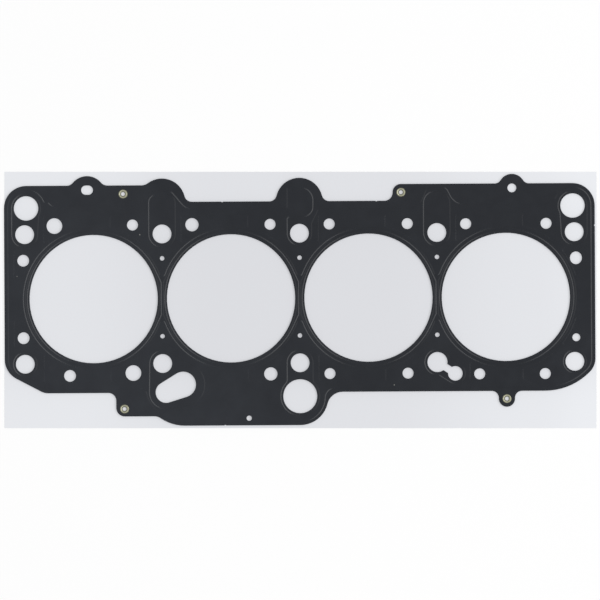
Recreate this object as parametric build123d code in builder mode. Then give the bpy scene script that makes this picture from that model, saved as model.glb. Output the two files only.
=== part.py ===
"""Multi-layer steel cylinder head gasket for an inline-four engine.

Two embossed active sheets lie on either side of a plain carrier sheet, and four
hollow rivets hold the stack together. The origin is on the cylinder row, half-way
along it, in the plane of the face that meets the block. +X runs along the cylinder
row, +Y towards the side with the narrow waist, and +Z towards the cylinder head.
"""
from build123d import *
from math import acos, asin, atan, atan2, cos, degrees, hypot, sin, sqrt
import os

# ---------------------------------------------------------------- sheets and beads
sheet = 0.25                 # thickness of each active sheet
carrier = 0.95               # thickness of the plain sheet between them
bead_height = 0.20           # how far beads and lands stand towards the carrier
bead_crest = 0.8             # flat width of the combustion bead's crest
bead_slope = 0.62            # plan width of each embossed slope, whatever its depth
coolant_step = 0.06          # depth of the shallow coolant pockets

# ---------------------------------------------------------------- cylinders and bolts
bore_count = 4
bore_pitch = 88.0
bore_dia = 82.1
bead_overlap = 0.33          # how far each combustion bead reaches past the middle of a bridge
bore_rim = 1.7               # width of the low rim round each bore, to the foot of its step
bridge_half = 10.3           # half length of the straight bead between two bores
bolt_row = 41.5              # each bolt row's distance from the cylinder row
bolt_dia = 12.0

# ---------------------------------------------------------------- outline
end_margin = 13.2            # from the end bolts to the ends of the plate
top_edge = 72.7
waist_drop = 10.7            # from the top edge to the narrow stretch between the lobes
bottom_edge = 60.2
foot_drop = 15.1             # from the bottom edge to the foot's edge
sump_drop = 21.2             # from the bottom edge to the lower lobe's edge
corner_radius = 14.3
corner_cut = (25.4, 13.3)    # lower left corner, along X and along Y
cut_blends = (14.1, 9.9)
sweep_reach = 32.2           # length of the lower right corner's long curve, along X
sweep_radius = 40.1
sweep_end_radius = 12.4
lobe_radius = 15.0
lobe_blend = 4.8
lobe_shoulder = 6.9
step_pad_radius = 5.3         # from the upper right rivet to the plate's end
step_blend = 5.3
foot_offset = 14.1           # from the first cylinder to the foot's end
foot_corner = 5.5
foot_blend = 5.0
sump_offset = 14.0           # from the second bolt to the centre of the lower lobe's long curve
sump_left_radius = 27.2
sump_left_blend = 7.4
sump_right_radius = 18.0
sump_right_blend = 10.0
nick_depth = 0.4
nick_width = 1.2
waist_nick_offset = 5.4      # from the middle cylinders
end_nick_offset = 4.1        # from the bolt row
sump_nick_offset = 4.1       # from the second cylinder

# tabs: distance of the centre from the end cylinder and from the plate's edge, radius and blend
left_tab = (-3.9, 5.7, 11.8, 5.1)
right_tab = (4.2, 2.4, 8.5, 4.4)
bottom_tab = (0.35, 4.95, 5.2, 4.5)

# ---------------------------------------------------------------- openings
coolant_dia = 7.0
wide_coolant_dia = 10.0
mid_coolant_dia = 8.45
end_coolant_dia = 7.5
# coolant holes beside each bolt: distance from it along X, distance beyond the bolt row, diameter
upper_coolant = {
    0: [(19.1, 5.4, wide_coolant_dia)],
    1: [(-18.9, 5.8, coolant_dia), (19.2, 5.8, mid_coolant_dia)],
    2: [(-18.8, 5.8, coolant_dia), (19.1, 5.8, coolant_dia)],
    3: [(-18.9, 5.8, coolant_dia), (18.5, 5.5, coolant_dia)],
    4: [(-18.0, 5.5, coolant_dia)],
}
lower_coolant = {
    0: [(28.6, 7.6, end_coolant_dia)],
    1: [(-18.8, 6.0, wide_coolant_dia)],
    2: [(-18.8, 7.0, mid_coolant_dia), (19.1, 7.0, coolant_dia)],
    3: [(-18.9, 7.0, coolant_dia), (27.0, 7.7, coolant_dia)],
    4: [(-19.0, 7.7, coolant_dia)],
}
end_coolant_offset = 1.0     # outwards from the end bolts
end_coolant_y = 24.8
right_coolant_size = (7.6, 8.1)
small_end_coolant_dia = 5.0
small_end_coolant_y = 26.1
vent_dia = 2.85              # vents above and below each bridge
vent_upper_y = 25.85
vent_lower_y = 24.0
end_oil_offset = (1.0, 16.8)        # inwards and upwards from the end bolts
end_oil_dia = 15.6
sump_oil_offset = 21.4       # from the middle bolt
sump_oil_dia = 21.7
slot_big_offset = (13.0, -13.5)     # the oil drain slot's ends, from the second bolt below
slot_big_radius = 8.2
slot_small_offset = (2.1, -18.5)
slot_small_radius = 6.7
key_dia = 12.8
key_side_dia = 9.3
key_offset = (11.4, -7.3)    # from the bolt hole to the side hole of the keyhole
key_neck = 4.6
tab_hole_drop = 2.9          # from the top edge to the slot and the hole in the tabs
tab_slot_size = (7.5, 5.9)
tab_hole_dia = 5.6
mark_hole_offset = (11.2, 4.6)      # from the second cylinder along X, and from the lower lobe's edge
mark_hole_dia = 3.3

# ---------------------------------------------------------------- lands pressed into the sheets
perimeter_inset = 2.1        # from the outline to the perimeter step
sump_inset = 1.7
ceiling_inset = 4.6          # from the waist to the raised field
end_ceiling_inset = 13.1     # from the top edge to the raised field outside the outer columns
column_half = 8.8
column_heads = {1: (5.8, 5.3), 3: (4.4, 8.0)}   # by bolt: distance from the top edge, corner radius
# humps of the field over the columns, by bolt: half width at head and foot, distance from the top edge
humps = {1: (6.2, 15.8, 3.8), 3: (6.2, 11.9, 2.1)}
hump_head_blend = 4.0
hump_foot_blend = 10.0
end_shoulder = (28.3, 31.2, 10.4)   # its head and foot from the plate's ends, its head from the top edge
shoulder_blends = (1.5, 1.8, 3.0)    # at the corner arc, the shoulder's head and its foot
sump_field_blends = (3.0, 6.0)
bead_join = 1.5              # blend where two cylinders' beads become one
middle_half = 7.5
flare_rise = 6.5             # from the middle bolt to where the land above it widens
flare_half = 12.2
flare_blend = 2.5
island = (8.1, 9.05, 10.3, 9.1)     # raised island in the middle lobe: reach left, right, down and up
island_corners = (1.5, 6.9, 8.5)    # upper left, lower right, upper right
neck_blend = 1.5             # where the island joins the field
end_oil_land = 9.6           # land radii from here on
lower_left_land = 7.9
lower_right_land = 7.7
lower_bolt_land = 8.6
slot_lands = (14.2, 11.0)
sump_land = 12.75
key_lands = (8.4, 6.7)
land_blend = 3.0
pocket_near = 11.8           # coolant pocket's span, from the bolt beside it
pocket_far = 33.5
pocket_rise = 11.9           # from the bolt row to a pocket's far edge
pocket_gap = 1.2             # between a pocket and the combustion bead
pocket_blend = 1.5
key_pocket_near = 20.5
side_pocket_inset = 5.9      # from the plate's ends
side_pocket_reach = (11.5, 6.5)     # inwards and outwards from the end coolant holes

# ---------------------------------------------------------------- rivets
rivet_insets = {"upper_left": (19.1, 5.5), "upper_right": (21.1, 5.3)}   # from a cylinder, from the top edge
foot_rivet_rise = 4.8        # from the foot's edge
rivet_head_radius = 2.8
rivet_mouth_radius = 2.0     # where each funnel meets the rolled rim
rivet_tube_radius = 2.2
rivet_bore_radius = 1.3
rivet_funnel = 0.7           # depth of the funnel at each end
rivet_crown = 0.08           # rise of the rolled rim's rounding
rivet_clearance = 0.05


# ---------------------------------------------------------------- derived sizes
bolt_count = bore_count + 1
bolt_x = [bore_pitch * (i - (bolt_count - 1) / 2) for i in range(bolt_count)]
bore_x = [x + bore_pitch / 2 for x in bolt_x[:-1]]
half_length = bolt_x[-1] + end_margin
waist_edge = top_edge - waist_drop
foot_edge = bottom_edge + foot_drop
sump_edge = bottom_edge + sump_drop
foot_end = bore_x[0] + foot_offset
sump_centre = bolt_x[1] + sump_offset
sweep_start = half_length - sweep_reach
left_tab_x = bore_x[0] + left_tab[0]
right_tab_x = bore_x[-1] + right_tab[0]
bottom_tab_x = bore_x[-1] + bottom_tab[0]
bottom_tab_y = -bottom_edge - bottom_tab[1]
end_oil_x = bolt_x[-1] - end_oil_offset[0]
end_oil_y = bolt_row + end_oil_offset[1]
end_coolant_x = bolt_x[-1] + end_coolant_offset
sump_oil_y = bolt_row + sump_oil_offset
slot_big = (bolt_x[1] + slot_big_offset[0], slot_big_offset[1] - bolt_row)
slot_small = (bolt_x[1] + slot_small_offset[0], slot_small_offset[1] - bolt_row)
tab_hole_y = top_edge - tab_hole_drop
ceiling = waist_edge - ceiling_inset
end_ceiling = top_edge - end_ceiling_inset
end_bolt_land = end_oil_land - end_oil_offset[0]
pocket_top = bolt_row + pocket_rise
rivet_places = {
    "upper_left": (bore_x[0] + rivet_insets["upper_left"][0], top_edge - rivet_insets["upper_left"][1]),
    "upper_right": (bore_x[2] + rivet_insets["upper_right"][0], top_edge - rivet_insets["upper_right"][1]),
    "lower_left": (foot_end + step_pad_radius, foot_rivet_rise - foot_edge),
    "lower_right": (bottom_tab_x, bottom_tab_y),
}
bead_radius = bore_pitch / 2 + bead_overlap
stack = 2 * sheet + 2 * bead_height + carrier
carrier_base = sheet + bead_height
bead_half = bead_crest / 2 + bead_slope
bead_foot = bead_radius - bead_half
bridge_flat = bore_pitch / 2 - bead_half
bead_turn = atan2(bridge_half, bridge_flat) + acos(bead_foot / hypot(bridge_half, bridge_flat))


def rounded(corners):
    """Polygon whose corners are listed in order, each as (x, y, blend radius)."""
    with BuildSketch() as shape:
        Polygon(*[(x, y) for x, y, _ in corners], align=None)
        for x, y, radius in corners:
            if radius > 0:
                fillet(shape.vertices().sort_by_distance((x, y))[0], radius)
    return shape.sketch


def blend(shape, x, y, radius):
    """Round the sketch's corner nearest to the point."""
    fillet(shape.vertices().sort_by_distance((x, y))[0], radius)


def chord(radius, height):
    """Half the chord a circle leaves at this height from its centre."""
    return sqrt(radius**2 - height**2)


# ---------------------------------------------------------------- outline
step_x = rivet_places["upper_right"][0] - step_pad_radius
sweep_fraction = (half_length - sweep_end_radius - sweep_start) / (sweep_radius - sweep_end_radius)
sweep_turn = degrees(asin(sweep_fraction))
cut_top = corner_cut[1] - bottom_edge

with BuildSketch() as plate:
    add(rounded([
        (-half_length, top_edge, corner_radius),
        (-half_length, cut_top, cut_blends[0]),
        (corner_cut[0] - half_length, -bottom_edge, cut_blends[1]),
        (foot_end, -bottom_edge, foot_blend),
        (foot_end, -foot_edge, foot_corner),
        (sump_centre, -foot_edge, 0),
        (sump_centre, -sump_edge, 0),
        (0, -sump_edge, 0),
        (0, -bottom_edge, 0),
        (sweep_start, -bottom_edge, 0),
        (sweep_start, 0, 0),
        (half_length, 0, 0),
        (half_length, top_edge, corner_radius),
        (step_x, top_edge, step_blend),
        (step_x, waist_edge, step_blend),
        (bolt_x[1], waist_edge, 0),
        (bolt_x[1], top_edge, 0),
    ]))
    with BuildLine():
        long_curve = JernArc((sweep_start, -bottom_edge), (1, 0), sweep_radius, sweep_turn)
        short_curve = JernArc(long_curve @ 1, long_curve % 1, sweep_end_radius, 90 - sweep_turn)
        Polyline(short_curve @ 1, (half_length, 0), (sweep_start, 0), long_curve @ 0)
    make_face()
    with Locations((sump_centre, sump_left_radius - sump_edge)):
        Circle(sump_left_radius)
    with Locations((0, sump_right_radius - sump_edge)):
        Circle(sump_right_radius)
    with Locations((bolt_x[1], waist_edge), (bolt_x[2], waist_edge)):
        Circle(lobe_radius)
    for x, (_, drop, radius, _) in ((left_tab_x, left_tab), (right_tab_x, right_tab)):
        with Locations((x, top_edge - drop)):
            Circle(radius)
    with Locations((bottom_tab_x, bottom_tab_y)):
        Circle(bottom_tab[2])

    foot_rise = foot_edge - sump_edge + sump_left_radius
    blend(plate, sump_centre - chord(sump_left_radius, foot_rise), -foot_edge, sump_left_blend)
    sump_rise = bottom_edge - sump_edge + sump_right_radius
    blend(plate, chord(sump_right_radius, sump_rise), -bottom_edge, sump_right_blend)
    blend(plate, bolt_x[1] - chord(lobe_radius, waist_drop), top_edge, lobe_shoulder)
    blend(plate, bolt_x[1] + lobe_radius, waist_edge, lobe_blend)
    blend(plate, bolt_x[2] - lobe_radius, waist_edge, lobe_blend)
    blend(plate, bolt_x[2] + lobe_radius, waist_edge, lobe_blend)
    for x, y, (_, drop, radius, foot) in (
        (left_tab_x, top_edge, left_tab),
        (right_tab_x, top_edge, right_tab),
        (bottom_tab_x, -bottom_edge, bottom_tab),
    ):
        reach = chord(radius, drop)
        blend(plate, x - reach, y, foot)
        blend(plate, x + reach, y, foot)

nick_radius = (nick_width**2 / 4 + nick_depth**2) / (2 * nick_depth)
nick_out = nick_radius - nick_depth
with BuildSketch() as outline:
    add(plate.sketch)
    with Locations(
        (bore_x[1] - waist_nick_offset, waist_edge + nick_out),
        (bore_x[2] + waist_nick_offset, waist_edge + nick_out),
        (half_length + nick_out, bolt_row + end_nick_offset),
        (bore_x[1] - sump_nick_offset, -sump_edge - nick_out),
    ):
        Circle(nick_radius, mode=Mode.SUBTRACT)


# ---------------------------------------------------------------- openings through every sheet
with BuildSketch() as drain_slot:
    for centre, radius in ((slot_big, slot_big_radius), (slot_small, slot_small_radius)):
        with Locations(centre):
            Circle(radius)
    make_hull()

key_x, key_y = bolt_x[3], -bolt_row
key_angle = degrees(atan(key_offset[1] / key_offset[0]))
with BuildSketch() as keyhole:
    with Locations((key_x, key_y)):
        Circle(key_dia / 2)
    with Locations((key_x + key_offset[0], key_y + key_offset[1])):
        Circle(key_side_dia / 2)
    with Locations((key_x + key_offset[0] / 2, key_y + key_offset[1] / 2)):
        Rectangle(key_offset[0], key_neck, rotation=key_angle)

with BuildSketch() as openings:
    for x in bore_x:
        with Locations((x, 0)):
            Circle(bore_dia / 2)
    for i, x in enumerate(bolt_x):
        with Locations((x, bolt_row)):
            Circle(bolt_dia / 2)
        if i != 3:
            with Locations((x, -bolt_row)):
                Circle(bolt_dia / 2)
    for side, rows in ((1, upper_coolant), (-1, lower_coolant)):
        for i, holes in rows.items():
            for along, beyond, diameter in holes:
                with Locations((bolt_x[i] + along, side * (bolt_row + beyond))):
                    Circle(diameter / 2)
    with Locations((-end_coolant_x, end_coolant_y), (-end_coolant_x, -end_coolant_y)):
        Circle(end_coolant_dia / 2)
    with Locations((end_coolant_x, end_coolant_y)):
        Ellipse(right_coolant_size[0] / 2, right_coolant_size[1] / 2)
    with Locations((end_coolant_x, -small_end_coolant_y)):
        Circle(small_end_coolant_dia / 2)
    for x in bolt_x[1:-1]:
        with Locations((x, vent_upper_y), (x, -vent_lower_y)):
            Circle(vent_dia / 2)
    with Locations((-end_oil_x, end_oil_y), (end_oil_x, end_oil_y)):
        Circle(end_oil_dia / 2)
    with Locations((0, -sump_oil_y)):
        Circle(sump_oil_dia / 2)
    with Locations((left_tab_x, tab_hole_y)):
        SlotOverall(*tab_slot_size)
    with Locations((right_tab_x, tab_hole_y)):
        Circle(tab_hole_dia / 2)
    with Locations((bore_x[1] + mark_hole_offset[0], mark_hole_offset[1] - sump_edge)):
        Circle(mark_hole_dia / 2)
    with Locations(*rivet_places.values()):
        Circle(rivet_tube_radius + rivet_clearance)
    add(drain_slot.sketch)
    add(keyhole.sketch)


# ---------------------------------------------------------------- plans of the lands, at their feet
def column(x, y, half, top, corner):
    """Bolt hole's land, round below and square-shouldered above."""
    with BuildSketch() as plan:
        add(rounded([(x - half, y, 0), (x + half, y, 0), (x + half, top, corner), (x - half, top, corner)]))
        with Locations((x, y)):
            Circle(half)
    return plan.sketch


def pair(large, small):
    """Land round two neighbouring openings, each given as (x, y, radius)."""
    (x1, y1, r1), (x2, y2, r2) = large, small
    between = Vector(x2 - x1, y2 - y1)
    with BuildSketch() as plan:
        for x, y, radius in (large, small):
            with Locations((x, y)):
                Circle(radius)
        with Locations(((x1 + x2) / 2, (y1 + y2) / 2)):
            Rectangle(between.length, 2 * r2, rotation=degrees(atan2(between.Y, between.X)))
        joins = [v for v in plan.vertices() if abs((v.center() - Vector(x1, y1)).length - r1) < 1e-4]
        fillet(joins, land_blend)
    return plan.sketch


def pocket(bore, near, away, low, high):
    """Shallow coolant pocket over a bore: its span along X and along Y, clear of the bead."""
    with BuildSketch() as plan:
        with Locations(((near + away) / 2, (low + high) / 2)):
            Rectangle(abs(away - near), abs(high - low))
        with Locations((bore, 0)):
            Circle(bead_radius + bead_half + pocket_gap, mode=Mode.SUBTRACT)
        fillet(plan.vertices(), pocket_blend)
    return plan.sketch


def end_pair(side):
    """Land round an end's oil hole and bolt hole, straight on the side of the plate's end."""
    oil = (side * end_oil_x, end_oil_y)
    bolt = (side * bolt_x[-1], bolt_row)
    outer = side * (end_oil_x + end_oil_land)
    with BuildSketch() as plan:
        add(pair((*oil, end_oil_land), (*bolt, end_bolt_land)))
        corners = [oil, (outer, oil[1]), (outer, bolt[1]), bolt]
        Polygon(*corners[::-side], align=None)
    return plan.sketch


def island_plan():
    """Raised island in the middle lobe."""
    left, right = -island[0], island[1]
    bottom, top = waist_edge - island[2], waist_edge + island[3]
    upper_left, lower_right, upper_right = island_corners
    return rounded([(left, bottom, 0), (right, bottom, lower_right), (right, top, upper_right),
                    (left, top, upper_left)])


def flare():
    """Low ground between the middle bolt and the edge of the raised field."""
    with BuildSketch() as plan:
        Polygon((-middle_half, bolt_row), (middle_half, bolt_row), (middle_half, bolt_row + flare_rise),
                (flare_half, ceiling), (flare_half, waist_edge), (-middle_half, waist_edge), align=None)
        with Locations((0, bolt_row)):
            Circle(middle_half)
    return plan.sketch


def field_corners():
    """Corners of the raised field's upper half, anticlockwise, each as (x, y, blend radius)."""
    side = half_length - perimeter_inset
    centre_x, centre_y = half_length - corner_radius, top_edge - corner_radius
    shoulder, foot = half_length - end_shoulder[0], half_length - end_shoulder[1]
    level = top_edge - end_shoulder[2]
    _, head_blend, foot_blend_radius = shoulder_blends
    end = [(side, 0, 0), (side, centre_y, 0), (centre_x, centre_y, 0), (centre_x, level, 0),
           (shoulder, level, head_blend), (foot, end_ceiling, foot_blend_radius)]
    corners = list(end)
    for i, right, left in ((3, end_ceiling, ceiling), (1, ceiling, end_ceiling)):
        head, foot, drop = humps[i]
        corners += [(bolt_x[i] + foot, right, hump_foot_blend),
                    (bolt_x[i] + head, top_edge - drop, hump_head_blend),
                    (bolt_x[i] - head, top_edge - drop, hump_head_blend),
                    (bolt_x[i] - foot, left, hump_foot_blend)]
    return corners + [(-x, y, radius) for x, y, radius in reversed(end)]


def field_plan():
    """Raised field inside the perimeter step."""
    floor = bottom_edge - perimeter_inset
    ring = corner_radius - perimeter_inset
    level = end_shoulder[2] - corner_radius
    left_radius = sump_left_radius - sump_inset
    left_rise = sump_left_radius - sump_edge + floor
    right_radius = sump_right_radius - sump_inset
    right_rise = sump_right_radius - sump_edge + floor
    with BuildSketch() as plan:
        add(plate.sketch)
        offset(amount=-perimeter_inset)
        Polygon((-half_length, -floor), (half_length, -floor), (half_length, 0), (-half_length, 0),
                align=None, mode=Mode.INTERSECT)
        add(rounded(field_corners()))
        for end in (-1, 1):
            with Locations((end * (half_length - corner_radius), top_edge - corner_radius)):
                Circle(ring)
        with Locations((sump_centre, sump_left_radius - sump_edge)):
            Circle(left_radius)
        with Locations((0, sump_right_radius - sump_edge)):
            Circle(right_radius)
        Polygon((sump_centre, sump_inset - sump_edge), (0, sump_inset - sump_edge), (0, -floor),
                (sump_centre, -floor), align=None)
        blend(plan, sump_centre - chord(left_radius, left_rise), -floor, sump_field_blends[0])
        blend(plan, chord(right_radius, right_rise), -floor, sump_field_blends[1])
        for end in (-1, 1):
            meet = end * (half_length - corner_radius - chord(ring, level))
            blend(plan, meet, top_edge - end_shoulder[2], shoulder_blends[0])
        add(flare(), mode=Mode.SUBTRACT)
        blend(plan, flare_half, ceiling, flare_blend)
        blend(plan, middle_half, bolt_row + flare_rise, land_blend)
        add(island_plan())
        blend(plan, -island[0], ceiling, neck_blend)
        blend(plan, -middle_half, waist_edge - island[2], neck_blend)
    return plan.sketch


def slot_plan(inset):
    """Land round the drain slot and the bolt beside it."""
    circles = [(bolt_x[1], -bolt_row, lower_bolt_land)]
    circles += [(*centre, radius) for centre, radius in zip((slot_big, slot_small), slot_lands)]
    with BuildSketch(mode=Mode.PRIVATE) as plan:
        for x, y, radius in circles:
            with Locations((x, y)):
                Circle(radius - inset)
        make_hull()
    return plan.sketch


def bead_edge(inset):
    """Outer edge of the combustion beads, drawn in by inset from their foot."""
    with BuildSketch() as plan:
        for x in bore_x:
            with Locations((x, 0)):
                Circle(bead_radius + bead_half - inset)
        joins = [v for v in plan.vertices() if abs(v.X) < bore_x[-1] - bead_half]
        fillet(joins, bead_join + inset)
    return plan.sketch


def bead_window(i, inset):
    """Clear middle of one combustion bead, flat on the bridges it shares, grown by inset."""
    inner = bead_radius - bead_half + inset
    straight = bore_pitch / 2 - bead_half + inset
    touch = (inner * cos(bead_turn), inner * sin(bead_turn))
    corner = (inner - straight * cos(bead_turn)) / sin(bead_turn)
    with BuildSketch(mode=Mode.PRIVATE) as plan:
        with Locations((bore_x[i], 0)):
            Circle(inner)
            for side in ([1] if i == 0 else [-1] if i == bore_count - 1 else [-1, 1]):
                Polygon((0, -touch[1]), (side * touch[0], -touch[1]), (side * straight, -corner),
                        (side * straight, corner), (side * touch[0], touch[1]), (0, touch[1]), align=None)
        for side in (-1, 1):
            if 0 <= i + side < bore_count:
                with Locations((bore_x[i] + side * (straight + bead_half), 0)):
                    Rectangle(2 * bead_half, 4 * bridge_half, mode=Mode.SUBTRACT)
    return plan.sketch


# every land inside the field, as (plan at its foot, height of the step)
lands = []
for i in (1, 3):
    drop, corner = column_heads[i]
    lands.append((column(bolt_x[i], bolt_row, column_half, top_edge - drop, corner), bead_height))
for side in (-1, 1):
    lands.append((end_pair(side), bead_height))
lands.append((pair((0, -sump_oil_y, sump_land), (0, -bolt_row, lower_bolt_land)), bead_height))
key_side = (key_x + key_offset[0], key_y + key_offset[1], key_lands[1])
lands.append((pair((key_x, key_y, key_lands[0]), key_side), bead_height))

rings = [(x, 0, bore_dia / 2 + bore_rim) for x in bore_x]
rings += [(bolt_x[0], -bolt_row, lower_left_land), (bolt_x[-1], -bolt_row, lower_right_land)]
for x, y, radius in rings:
    with BuildSketch() as ring_plan:
        with Locations((x, y)):
            Circle(radius)
    lands.append((ring_plan.sketch, bead_height))

for i, bolt in enumerate(bolt_x):
    for side in (-1, 1):
        bore = bolt + side * bore_pitch / 2
        if bore not in bore_x:
            continue
        away = bolt + side * pocket_far
        near = bolt + side * pocket_near
        lands.append((pocket(bore, near, away, 0, pocket_top), coolant_step))
        if (i, side) == (3, 1):
            near = bolt + key_pocket_near
        if (i, side) != (1, 1):
            lands.append((pocket(bore, near, away, 0, -pocket_top), coolant_step))

low = end_coolant_y - side_pocket_reach[0]
high = end_coolant_y + side_pocket_reach[1]
for bore, side in ((bore_x[0], -1), (bore_x[-1], 1)):
    away = side * (half_length - side_pocket_inset)
    for end in (-1, 1):
        lands.append((pocket(bore, bore, away, end * low, end * high), coolant_step))


# ---------------------------------------------------------------- solids
with BuildPart() as field:
    for face in field_plan().faces():
        with BuildSketch(Plane.XY.offset(bead_height)):
            add(face)
        with BuildSketch():
            add(face)
            offset(amount=-bead_slope)
        loft(ruled=True)
    for plan, height in lands:
        with BuildSketch():
            add(plan)
        extrude(amount=height, taper=degrees(atan(bead_slope / height)), mode=Mode.SUBTRACT)
    with BuildSketch():
        add(slot_plan(0))
    with BuildSketch(Plane.XY.offset(bead_height)):
        add(slot_plan(bead_slope))
    loft(ruled=True, mode=Mode.SUBTRACT)

with BuildPart() as bead:
    with BuildSketch():
        add(bead_edge(0))
    with BuildSketch(Plane.XY.offset(bead_height)):
        add(bead_edge(bead_slope))
    loft(ruled=True)
    for i in range(bore_count):
        with BuildSketch():
            add(bead_window(i, 0))
        with BuildSketch(Plane.XY.offset(bead_height)):
            add(bead_window(i, bead_slope))
        loft(ruled=True, mode=Mode.SUBTRACT)

with BuildPart() as lower_layer:
    with BuildSketch(Plane.XY.offset(bead_height)):
        add(outline.sketch)
    extrude(amount=sheet)
    add(field.part.moved(Location((0, 0, sheet))), mode=Mode.SUBTRACT)
    add(field.part)
    add(bead.part.moved(Location((0, 0, sheet))))
    add(bead.part, mode=Mode.SUBTRACT)
    with BuildSketch():
        add(openings.sketch)
    extrude(amount=stack, mode=Mode.SUBTRACT)

with BuildPart() as upper_layer:
    add(mirror(lower_layer.part, about=Plane.XY.offset(stack / 2), mode=Mode.PRIVATE))

with BuildPart() as carrier_layer:
    with BuildSketch(Plane.XY.offset(carrier_base)):
        add(outline.sketch)
        add(openings.sketch, mode=Mode.SUBTRACT)
    extrude(amount=carrier)


def rivet(x, y):
    """Hollow rivet, rolled over at both ends into the low ground outside the field."""
    middle = (rivet_mouth_radius + rivet_head_radius) / 2
    with BuildPart() as body:
        with BuildSketch(Plane.XZ):
            with BuildLine():
                Polyline((rivet_mouth_radius, rivet_crown), (rivet_bore_radius, rivet_funnel),
                         (rivet_bore_radius, stack - rivet_funnel),
                         (rivet_mouth_radius, stack - rivet_crown))
                ThreePointArc((rivet_mouth_radius, stack - rivet_crown), (middle, stack),
                              (rivet_head_radius, stack - rivet_crown))
                Polyline((rivet_head_radius, stack - rivet_crown), (rivet_head_radius, stack - bead_height),
                         (rivet_tube_radius, stack - bead_height), (rivet_tube_radius, bead_height),
                         (rivet_head_radius, bead_height), (rivet_head_radius, rivet_crown))
                ThreePointArc((rivet_head_radius, rivet_crown), (middle, 0),
                              (rivet_mouth_radius, rivet_crown))
            make_face()
        revolve(axis=Axis.Z)
    return body.part.moved(Location((x, y, 0)))


# ---------------------------------------------------------------- files
os.makedirs("parts", exist_ok=True)
lower_layer.part.label = "lower_layer"
export_step(lower_layer.part, "parts/lower_layer.step")
carrier_layer.part.label = "carrier_layer"
export_step(carrier_layer.part, "parts/carrier_layer.step")
upper_layer.part.label = "upper_layer"
export_step(upper_layer.part, "parts/upper_layer.step")
for name, (x, y) in rivet_places.items():
    with BuildPart() as placed_rivet:
        add(rivet(x, y))
    placed_rivet.part.label = f"rivet_{name}"
    export_step(placed_rivet.part, f"parts/rivet_{name}.step")
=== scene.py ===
"""Looks of a multi-layer steel cylinder head gasket, lying flat under a camera that looks straight down."""
import math

import bpy
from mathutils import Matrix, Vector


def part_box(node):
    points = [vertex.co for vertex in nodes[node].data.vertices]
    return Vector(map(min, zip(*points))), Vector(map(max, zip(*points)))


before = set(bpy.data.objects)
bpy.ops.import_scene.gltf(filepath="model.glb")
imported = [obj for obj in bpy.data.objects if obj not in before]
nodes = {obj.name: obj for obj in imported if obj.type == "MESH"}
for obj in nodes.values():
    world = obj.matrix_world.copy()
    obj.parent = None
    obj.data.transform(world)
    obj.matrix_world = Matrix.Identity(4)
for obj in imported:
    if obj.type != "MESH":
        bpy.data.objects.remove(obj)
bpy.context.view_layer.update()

# ---------------------------------------------------------------- view, in metres
VIEW_WIDTH = 0.3843          # width of the ground that the camera sees
VIEW_CENTRE = (0.00014, -0.00128)
VIEW_TURN = math.radians(-0.306)
CAMERA_HEIGHT = 1.2
CAMERA_CLIP = (0.01, 20.0)

# the pale card that the gasket lies on, square to the camera: lowest and highest corner
CARD = ((-0.18915, -0.08335), (0.1900, 0.0808))
CARD_THICKNESS = 0.0003
FLOOR_SIZE = 6.0

# brightness of the even sky, and the two lamps as (name, nearest X, farthest X, half length, brightness),
# with the lengths per metre of the lamps' height
SKY = 0.57
LAMP_HEIGHT = 4.0
SOFTBOXES = (("right_softbox", 0.30, 1.0, 0.75, 2.5), ("left_softbox", -0.36, -1.0, 0.42, 0.78))


# ---------------------------------------------------------------- node helpers
class Tree:
    """A material's node tree, with short calls for its nodes."""

    def __init__(self, name):
        self.material = bpy.data.materials.new(name)
        self.material.use_nodes = True
        self.nodes = self.material.node_tree.nodes
        self.links = self.material.node_tree.links
        self.nodes.clear()

    def add(self, kind, settings=None, **sockets):
        node = self.nodes.new(kind)
        for key, value in (settings or {}).items():
            setattr(node, key, value)
        for key, value in sockets.items():
            self.set(node, key.replace("_", " "), value)
        return node

    def set(self, node, key, value):
        socket = node.inputs[int(key) if key.isdigit() else key]
        if isinstance(value, bpy.types.NodeSocket):
            self.links.new(value, socket)
        else:
            socket.default_value = value

    def math(self, operation, a, b=0.0, clamp=False):
        node = self.add("ShaderNodeMath", {"operation": operation, "use_clamp": clamp})
        self.set(node, "0", a)
        self.set(node, "1", b)
        return node.outputs[0]

    def ramp(self, value, low, high, start=0.0, end=1.0):
        """Smooth change from start, where the value is low, to end, where it is high."""
        node = self.add("ShaderNodeMapRange", {"interpolation_type": "SMOOTHSTEP"})
        self.set(node, "Value", value)
        self.set(node, "From Min", low)
        self.set(node, "From Max", high)
        self.set(node, "To Min", start)
        self.set(node, "To Max", end)
        return node.outputs["Result"]

    def swing(self, value, size):
        """A noise of 0 to 1 as a swing about 0."""
        return self.math("MULTIPLY", self.math("SUBTRACT", value, 0.5), size)

    def mix(self, factor, a, b):
        node = self.add("ShaderNodeMix", {"data_type": "RGBA"})
        self.set(node, "0", factor)
        self.set(node, "6", a)
        self.set(node, "7", b)
        return node.outputs[2]

    def noise(self, vector, scale, detail=3.0):
        node = self.add("ShaderNodeTexNoise", Scale=scale, Detail=detail, Roughness=0.5)
        self.links.new(vector, node.inputs["Vector"])
        return node.outputs["Fac"]

    def scaled(self, vector, x, y, z):
        node = self.add("ShaderNodeVectorMath", {"operation": "MULTIPLY"})
        self.links.new(vector, node.inputs[0])
        node.inputs[1].default_value = (x, y, z)
        return node.outputs[0]

    def bump(self, height, distance, strength):
        node = self.add("ShaderNodeBump", Height=height, Distance=distance, Strength=strength)
        return node.outputs["Normal"]

    def finish(self, shader):
        out = self.add("ShaderNodeOutputMaterial")
        self.links.new(shader.outputs[0], out.inputs["Surface"])
        return self.material


def place(tree):
    """(object coordinates, x, y, z) in metres."""
    point = tree.add("ShaderNodeTexCoord").outputs["Object"]
    split = tree.add("ShaderNodeSeparateXYZ", Vector=point)
    return point, split.outputs["X"], split.outputs["Y"], split.outputs["Z"]


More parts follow.
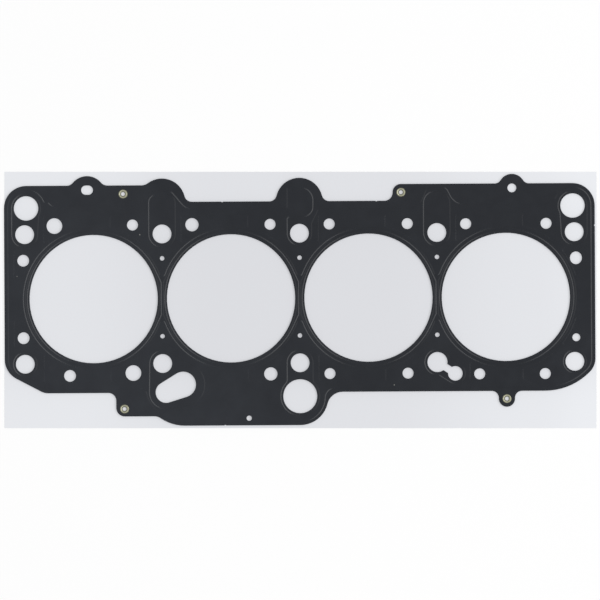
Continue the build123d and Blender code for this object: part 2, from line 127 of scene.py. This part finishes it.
# how upright a normal is on a cut edge, and on a face or an embossed slope
WALL_UPRIGHT = (0.35, 0.6)


def wall_mask(tree):
    """1 on a sheet's cut edges, 0 on its faces."""
    normal = tree.add("ShaderNodeTexCoord").outputs["Normal"]
    split = tree.add("ShaderNodeSeparateXYZ", Vector=normal)
    upright = tree.math("ABSOLUTE", split.outputs["Z"])
    return tree.ramp(upright, *WALL_UPRIGHT, 1.0, 0.0)


def distance(tree, point, x, y):
    """Distance in the plan from (x, y)."""
    away = tree.add("ShaderNodeVectorMath", {"operation": "DISTANCE"})
    tree.links.new(tree.scaled(point, 1.0, 1.0, 0.0), away.inputs[0])
    away.inputs[1].default_value = (x, y, 0.0)
    return away.outputs["Value"]


def chip_mask(tree, point):
    """1 on the small chips in the coating of the upper face."""
    mask = 0.0
    for x, y, radius in CHIPS:
        spot = tree.ramp(distance(tree, point, x, y), 0.7 * radius, 1.2 * radius, 1.0, 0.0)
        mask = tree.math("MAXIMUM", mask, spot)
    return mask


# ---------------------------------------------------------------- materials
DARK_COAT = (0.0036, 0.0056, 0.0100, 1.0)
PALE_COAT = (0.0125, 0.0155, 0.0215, 1.0)
COAT_GLOSS = 0.295           # strength of the coating's sheen
CHIP_STEEL = (0.17, 0.17, 0.16, 1.0)
CUT_STEEL = ((0.20, 0.20, 0.20, 1.0), (0.44, 0.44, 0.43, 1.0))
# the coating pales over this stretch of x + PALE_LEAN * y, from the first tone to the second
PALE_LEAN = 0.8
PALE_STRETCH = (-0.13, 0.015)
PALE_TONES = (0.72, 0.02)
PEEL_DEPTH = 0.000004        # of the coating's fine orange peel
# small chips in the coating, as (x, y, radius)
CHIPS = ((0.06024, -0.05598, 0.00042), (-0.10225, 0.04109, 0.00045), (-0.18104, 0.01478, 0.00030))


def coated_sheet():
    tree = Tree("charcoal_coating")
    point, x, y, _ = place(tree)
    drift = tree.noise(point, 16.0, 2.0)
    cloud = tree.noise(point, 85.0, 3.0)
    grain = tree.noise(point, 2600.0, 2.0)
    # the coating is a little paler and bluer towards the lower left end
    across = tree.math("ADD", x, tree.math("MULTIPLY", y, PALE_LEAN))
    tone = tree.ramp(across, *PALE_STRETCH, *PALE_TONES)
    tone = tree.math("ADD", tone, tree.swing(drift, 1.0))
    tone = tree.math("ADD", tone, tree.swing(cloud, 0.9), clamp=True)
    coat = tree.mix(tone, DARK_COAT, PALE_COAT)
    fine = tree.ramp(grain, 0.3, 0.7, 0.9, 1.1)
    shade = tree.add("ShaderNodeVectorMath", {"operation": "SCALE"})
    tree.links.new(coat, shade.inputs[0])
    tree.links.new(fine, shade.inputs["Scale"])
    wall = wall_mask(tree)
    streak = tree.noise(tree.scaled(point, 1.0, 1.0, 0.12), 5200.0, 2.0)
    steel = tree.mix(streak, *CUT_STEEL)
    chipped = chip_mask(tree, point)
    bare = tree.math("MAXIMUM", wall, chipped)
    colour = tree.mix(chipped, tree.mix(wall, shade.outputs[0], steel), CHIP_STEEL)
    rough = tree.ramp(tree.noise(point, 160.0, 3.0), 0.3, 0.7, 0.20, 0.26)
    shader = tree.add("ShaderNodeBsdfPrincipled", Base_Color=colour, Metallic=bare, Roughness=rough)
    shader.inputs["IOR"].default_value = 1.5
    shader.inputs["Specular IOR Level"].default_value = COAT_GLOSS
    peel = tree.math("ADD", tree.noise(point, 1500.0, 2.0), tree.math("MULTIPLY", grain, 0.5))
    tree.links.new(tree.bump(peel, PEEL_DEPTH, 0.6), shader.inputs["Normal"])
    return tree.finish(shader)


STEEL_FACE = ((0.42, 0.42, 0.42, 1.0), (0.60, 0.60, 0.59, 1.0))
STEEL_EDGE = ((0.28, 0.28, 0.28, 1.0), (0.56, 0.56, 0.55, 1.0))
ROLLING_DEPTH = 0.000005     # of the marks that rolling left


def bare_steel():
    tree = Tree("rolled_steel")
    point, *_ = place(tree)
    rolled = tree.noise(tree.scaled(point, 0.05, 1.0, 1.0), 3000.0, 3.0)
    cloud = tree.noise(point, 60.0, 3.0)
    wall = wall_mask(tree)
    streak = tree.noise(tree.scaled(point, 1.0, 1.0, 0.08), 4200.0, 2.0)
    colour = tree.mix(wall, tree.mix(rolled, *STEEL_FACE), tree.mix(streak, *STEEL_EDGE))
    rough = tree.ramp(cloud, 0.3, 0.7, 0.28, 0.42)
    shader = tree.add("ShaderNodeBsdfPrincipled", Base_Color=colour, Roughness=rough)
    shader.inputs["Metallic"].default_value = 1.0
    tree.links.new(tree.bump(rolled, ROLLING_DEPTH, 0.5), shader.inputs["Normal"])
    return tree.finish(shader)


RIVETS = sorted(name for name in nodes if name.startswith("rivet_"))
BRIGHT_PLATING = ((0.25, 0.25, 0.175, 1.0), (0.40, 0.395, 0.30, 1.0))
# painted shade: the plating's colour inside the funnels and at the rims' outside
SHADED_PLATING = ((0.11, 0.11, 0.075, 1.0), (0.20, 0.195, 0.135, 1.0))
# radii over which the painted shade in the funnel gives way to the plain plating of the rim, and painted
# shade darkens the rim's outside again
RIM_INSIDE = (0.00150, 0.00185)
RIM_OUTSIDE = (0.00225, 0.00270)
PLATING_DEPTH = 0.00001      # of the plating's fine roughness


def plated_rivet():
    """Yellow plating, plain on the rolled rims, with painted shade inside the funnels and at the rims'
    outside.
    """
    tree = Tree("yellow_plating")
    point, *_ = place(tree)
    cloud = tree.noise(point, 700.0, 3.0)
    fine = tree.noise(point, 5000.0, 2.0)
    radius = 1.0
    for name in RIVETS:
        low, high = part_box(name)
        away = distance(tree, point, (low[0] + high[0]) / 2, (low[1] + high[1]) / 2)
        radius = tree.math("MINIMUM", radius, away)
    inside = tree.ramp(radius, *RIM_INSIDE)
    outside = tree.ramp(radius, *RIM_OUTSIDE, 1.0, 0.0)
    rim = tree.math("MULTIPLY", inside, outside)
    # painted shade darkens the plating inside the funnels and at the rims' outside
    colour = tree.mix(rim, tree.mix(cloud, *SHADED_PLATING), tree.mix(cloud, *BRIGHT_PLATING))
    rough = tree.ramp(fine, 0.3, 0.7, 0.20, 0.34)
    shader = tree.add("ShaderNodeBsdfPrincipled", Base_Color=colour, Roughness=rough)
    shader.inputs["Metallic"].default_value = 1.0
    tree.links.new(tree.bump(fine, PLATING_DEPTH, 0.6), shader.inputs["Normal"])
    return tree.finish(shader)


def assign(names, material):
    for name in names:
        obj = nodes[name]
        obj.data.materials.clear()
        obj.data.materials.append(material)


assign(["upper_layer", "lower_layer"], coated_sheet())
assign(["carrier_layer"], bare_steel())
assign(RIVETS, plated_rivet())


# ---------------------------------------------------------------- ground
# card colours in painted shade, for its middle, and in painted light, for its edges
DIM_CARD = (0.728, 0.736, 0.768, 1.0)
BRIGHT_CARD = (0.845, 0.860, 0.893, 1.0)
WHITE = (1.0, 1.0, 1.0, 1.0)
# painted shade and painted light on the card: it is darker in the middle, around the gasket, and brightens
# towards its ends, its long sides and its right end, as (start, end, amount)
CARD_ENDS = (0.05, 0.15, 0.45)
CARD_SIDES = (0.035, 0.075, 0.28)
CARD_RIGHT = (0.15, 0.19, 0.30)
# share of the card's and the ground's own colour in what the camera sees of them
CARD_SHARE = 0.5
GROUND_SHARE = 0.7


def seen_directly(tree):
    """1 for what the camera sees and for what metal or glass reflects or lets through to it, otherwise 0."""
    path = tree.nodes.new("ShaderNodeLightPath")
    seen = path.outputs["Is Camera Ray"]
    for kind in ("Is Glossy Ray", "Is Transmission Ray"):
        either = tree.nodes.new("ShaderNodeMath")
        either.operation = "MAXIMUM"
        tree.links.new(seen, either.inputs[0])
        tree.links.new(path.outputs[kind], either.inputs[1])
        seen = either.outputs[0]
    return seen


def backdrop(tree, lit, colour, share):
    """The lit surface, with a share of its own colour at strength 1, so its shadows stay soft."""
    own = tree.add("ShaderNodeEmission", Color=colour, Strength=1.0)
    blend = tree.add("ShaderNodeMixShader")
    tree.set(blend, "0", tree.math("MULTIPLY", seen_directly(tree), share))
    tree.links.new(lit.outputs[0], blend.inputs[1])
    tree.links.new(own.outputs[0], blend.inputs[2])
    return tree.finish(blend)


def card_paper():
    """Pale matt card, with painted shade in its middle and painted light towards its edges."""
    tree = Tree("card_paper")
    point, x, y, _ = place(tree)
    tone = 0.0
    for value, (start, end, amount) in (
        (tree.math("ABSOLUTE", x), CARD_ENDS),
        (tree.math("ABSOLUTE", y), CARD_SIDES),
        (x, CARD_RIGHT),
    ):
        tone = tree.math("ADD", tone, tree.ramp(value, start, end, 0.0, amount), clamp=True)
    fibre = tree.ramp(tree.noise(point, 900.0), 0.3, 0.7, -0.03, 0.03)
    colour = tree.mix(tree.math("ADD", tone, fibre, clamp=True), DIM_CARD, BRIGHT_CARD)
    shader = tree.add("ShaderNodeBsdfPrincipled", Base_Color=colour, Roughness=0.9)
    shader.inputs["Specular IOR Level"].default_value = 0.0
    return backdrop(tree, shader, colour, CARD_SHARE)


def white_ground():
    """Matt white floor under the card."""
    tree = Tree("white_ground")
    shader = tree.add("ShaderNodeBsdfPrincipled", Roughness=0.9)
    shader.inputs["Base Color"].default_value = WHITE
    shader.inputs["Specular IOR Level"].default_value = 0.0
    return backdrop(tree, shader, WHITE, GROUND_SHARE)


def sheet(name, low, high, top, material):
    """A flat rectangle, its sides square to the camera."""
    mesh = bpy.data.meshes.new(name)
    corners = [(x, y, top) for y in (low[1], high[1]) for x in (low[0], high[0])]
    mesh.from_pydata(corners, [], [(0, 1, 3, 2)])
    obj = bpy.data.objects.new(name, mesh)
    obj.rotation_euler = (0.0, 0.0, VIEW_TURN)
    bpy.context.scene.collection.objects.link(obj)
    obj.data.materials.append(material)


half = FLOOR_SIZE / 2
sheet("card", *CARD, 0.0, card_paper())
sheet("ground", (-half, -half), (half, half), -CARD_THICKNESS, white_ground())


# ---------------------------------------------------------------- light
def studio_world():
    """Even soft light, with a white background behind the ground and in what the metal reflects."""
    world = bpy.data.worlds.new("studio")
    bpy.context.scene.world = world
    world.use_nodes = True
    tree = world.node_tree
    strength = tree.nodes.new("ShaderNodeMapRange")
    tree.links.new(seen_directly(tree), strength.inputs["Value"])
    strength.inputs["To Min"].default_value = SKY
    strength.inputs["To Max"].default_value = 1.0
    background = tree.nodes["Background"]
    background.inputs["Color"].default_value = WHITE
    tree.links.new(strength.outputs["Result"], background.inputs["Strength"])


def softbox(name, near, far, half_length, radiance):
    """A long level lamp beside the gasket."""
    data = bpy.data.lights.new(name, "AREA")
    data.shape = "RECTANGLE"
    data.size = abs(far - near) * LAMP_HEIGHT
    data.size_y = 2 * half_length * LAMP_HEIGHT
    data.energy = radiance * math.pi * data.size * data.size_y
    obj = bpy.data.objects.new(name, data)
    obj.location = ((near + far) / 2 * LAMP_HEIGHT, 0.0, LAMP_HEIGHT)
    bpy.context.scene.collection.objects.link(obj)


studio_world()
for lamp in SOFTBOXES:
    softbox(*lamp)

# ---------------------------------------------------------------- camera
camera_data = bpy.data.cameras.new("camera")
camera_data.type = "ORTHO"
camera_data.ortho_scale = VIEW_WIDTH
camera_data.clip_start, camera_data.clip_end = CAMERA_CLIP
camera = bpy.data.objects.new("camera", camera_data)
bpy.context.scene.collection.objects.link(camera)
camera.location = (VIEW_CENTRE[0], VIEW_CENTRE[1], CAMERA_HEIGHT)
camera.rotation_euler = (0.0, 0.0, VIEW_TURN)
bpy.context.scene.camera = camera
bpy.context.scene.view_settings.view_transform = "Standard"
